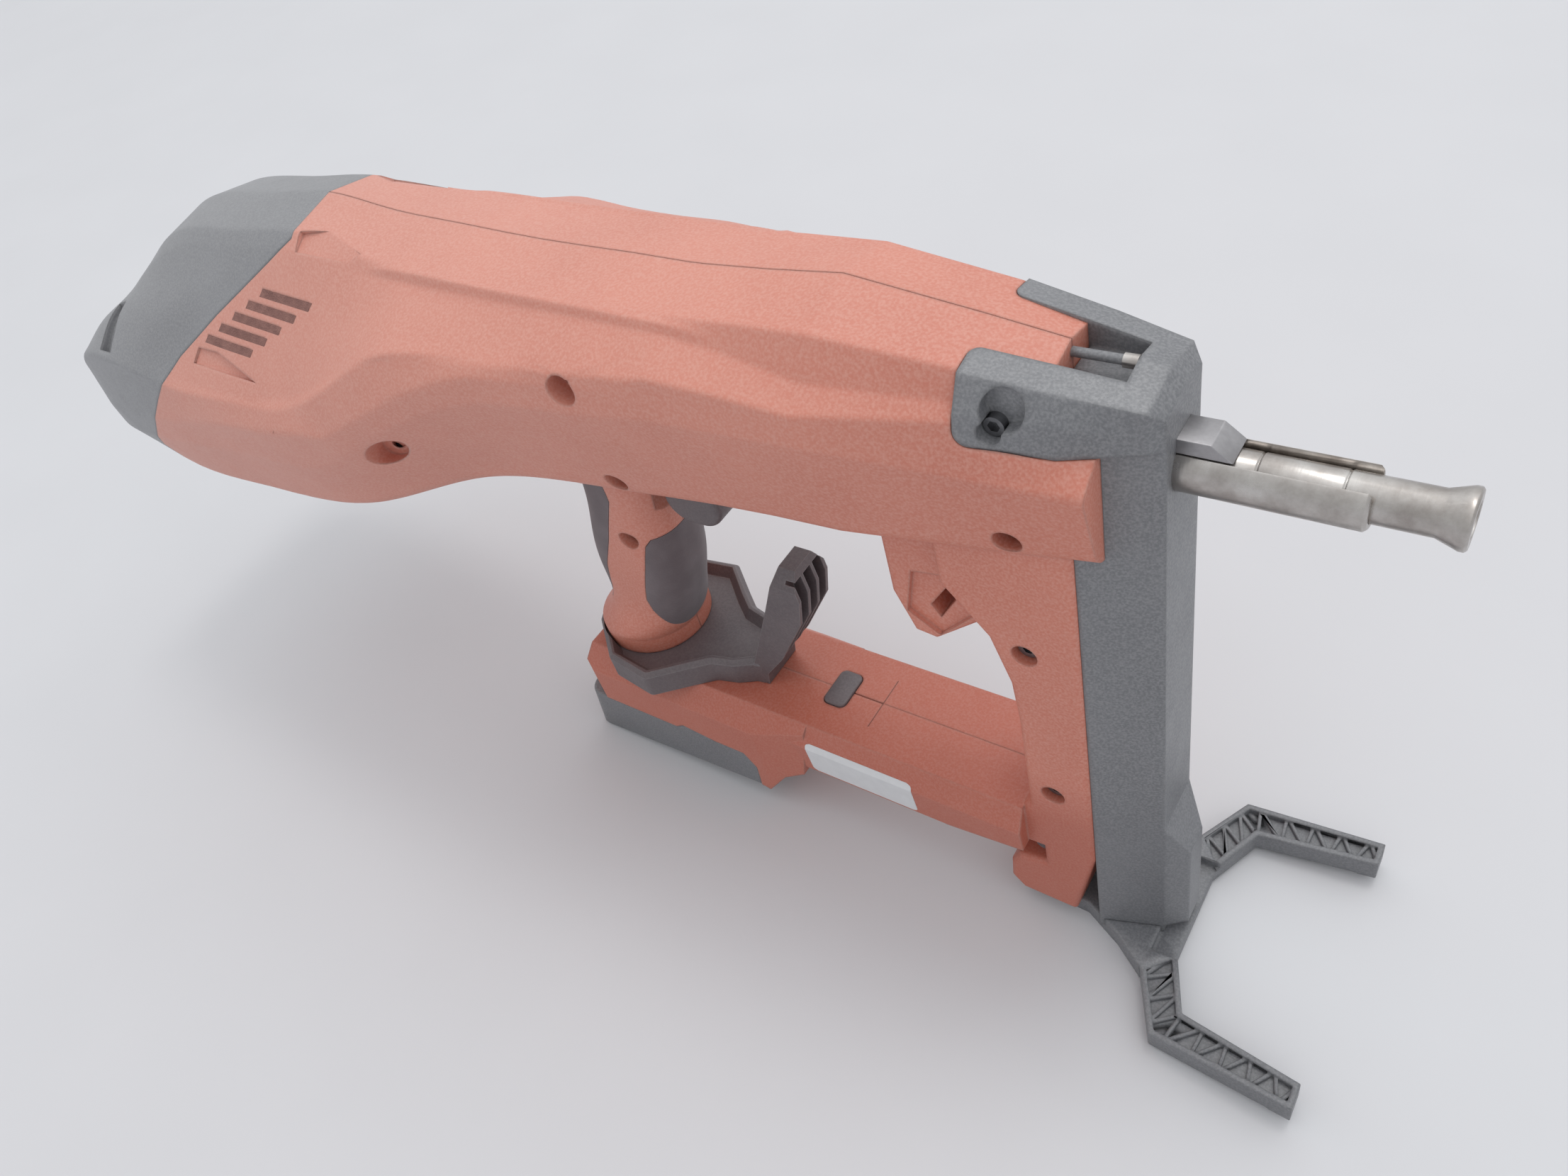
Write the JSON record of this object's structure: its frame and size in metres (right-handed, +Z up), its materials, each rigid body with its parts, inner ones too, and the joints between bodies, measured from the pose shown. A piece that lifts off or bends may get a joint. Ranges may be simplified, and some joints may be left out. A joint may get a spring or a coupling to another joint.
{
  "type": "concrete nailer",
  "caption": "Cordless concrete nailer with a closed handle, press-in nose guide, swivelling belt hook, sliding-battery foot and forked support foot",
  "frame": {"origin": "centre of the muzzle face, on the fastener guide's axis", "axes": "+X out of the nose along the drive axis, +Y to the tool's left, +Z up"},
  "size_m": [0.501, 0.1128, 0.248],
  "materials": {
    "red_plastic": "fine matt",
    "dark_plastic": "matt",
    "rubber": "soft matt",
    "bright_steel": "ground",
    "cast_zinc": "as cast",
    "screw_steel": "zinc plated",
    "motor_case": "satin",
    "board": "lacquered"
  },
  "bodies": {
    "body": {"housing_right": "red_plastic", "housing_left": "red_plastic", "rear_cap": "dark_plastic", "nose_bracket": "dark_plastic", "support_fork": "dark_plastic", "foot_skirt": "dark_plastic", "claw_pin": "dark_plastic", "trigger_switch": "dark_plastic", "battery_terminals": "dark_plastic", "grip_rubber_rear": "rubber", "grip_rubber_front": "rubber", "front_bumper": "rubber", "nose_sleeve": "bright_steel", "guide_lock_block": "cast_zinc", "bracket_rod": "cast_zinc", "rod_ferrule": "bright_steel", "bracket_screws": "screw_steel", "housing_screws": "screw_steel", "piston_barrel": "bright_steel", "spindle_bearing": "bright_steel", "motor_can": "motor_case", "control_board": "board"},
    "guide": {"fastener_guide": "bright_steel"},
    "hook": {"scaffold_hook": "dark_plastic"},
    "trigger": {"trigger": "dark_plastic"},
    "button": {"mode_button": "dark_plastic"},
    "piston": {"piston": "bright_steel"},
    "spindle": {"lead_spindle": "bright_steel"},
    "carrier": {"spring_carrier": "bright_steel"},
    "rotor": {"motor_pinion": "bright_steel", "cooling_fan": "dark_plastic"}
  },
  "joints": [
    {"name": "nose_press", "type": "slide", "parent": "body", "child": "guide", "axis": [-1, 0, 0], "range_m": [0, 0.011], "stiffness_N_per_m": 900, "springref_m": -0.006},
    {"name": "trigger_pull", "type": "slide", "parent": "body", "child": "trigger", "axis": [-1, 0, 0], "range_m": [0, 0.006], "stiffness_N_per_m": 700, "springref_m": -0.004},
    {"name": "hook_swivel", "type": "hinge", "parent": "body", "child": "hook", "pos_m": [-0.267, 0, -0.138], "axis": [0, 0, 1], "range_deg": [-100, 100]},
    {"name": "button_press", "type": "slide", "parent": "body", "child": "button", "axis": [0, 0, -1], "range_m": [0, 0.0015], "stiffness_N_per_m": 600, "springref_m": -0.002},
    {"name": "piston_stroke", "type": "slide", "parent": "body", "child": "piston", "axis": [1, 0, 0], "range_m": [0, 0.03]},
    {"name": "spindle_turn", "type": "hinge", "parent": "body", "child": "spindle", "pos_m": [-0.34, 0, 0], "axis": [1, 0, 0], "range_deg": [0, 1440]},
    {"name": "rotor_turn", "type": "hinge", "parent": "body", "child": "rotor", "pos_m": [-0.37, 0, -0.036], "axis": [1, 0, 0], "range_deg": [-4330, 0]},
    {"name": "carrier_travel", "type": "slide", "parent": "body", "child": "carrier", "axis": [1, 0, 0], "range_m": [0, 0.0241]}
  ],
  "couplings": [
    {"joint": "rotor_turn", "follows": "spindle_turn", "ratio": -3},
    {"joint": "carrier_travel", "follows": "spindle_turn", "m_per_rad": 0.00095493}
  ]
}
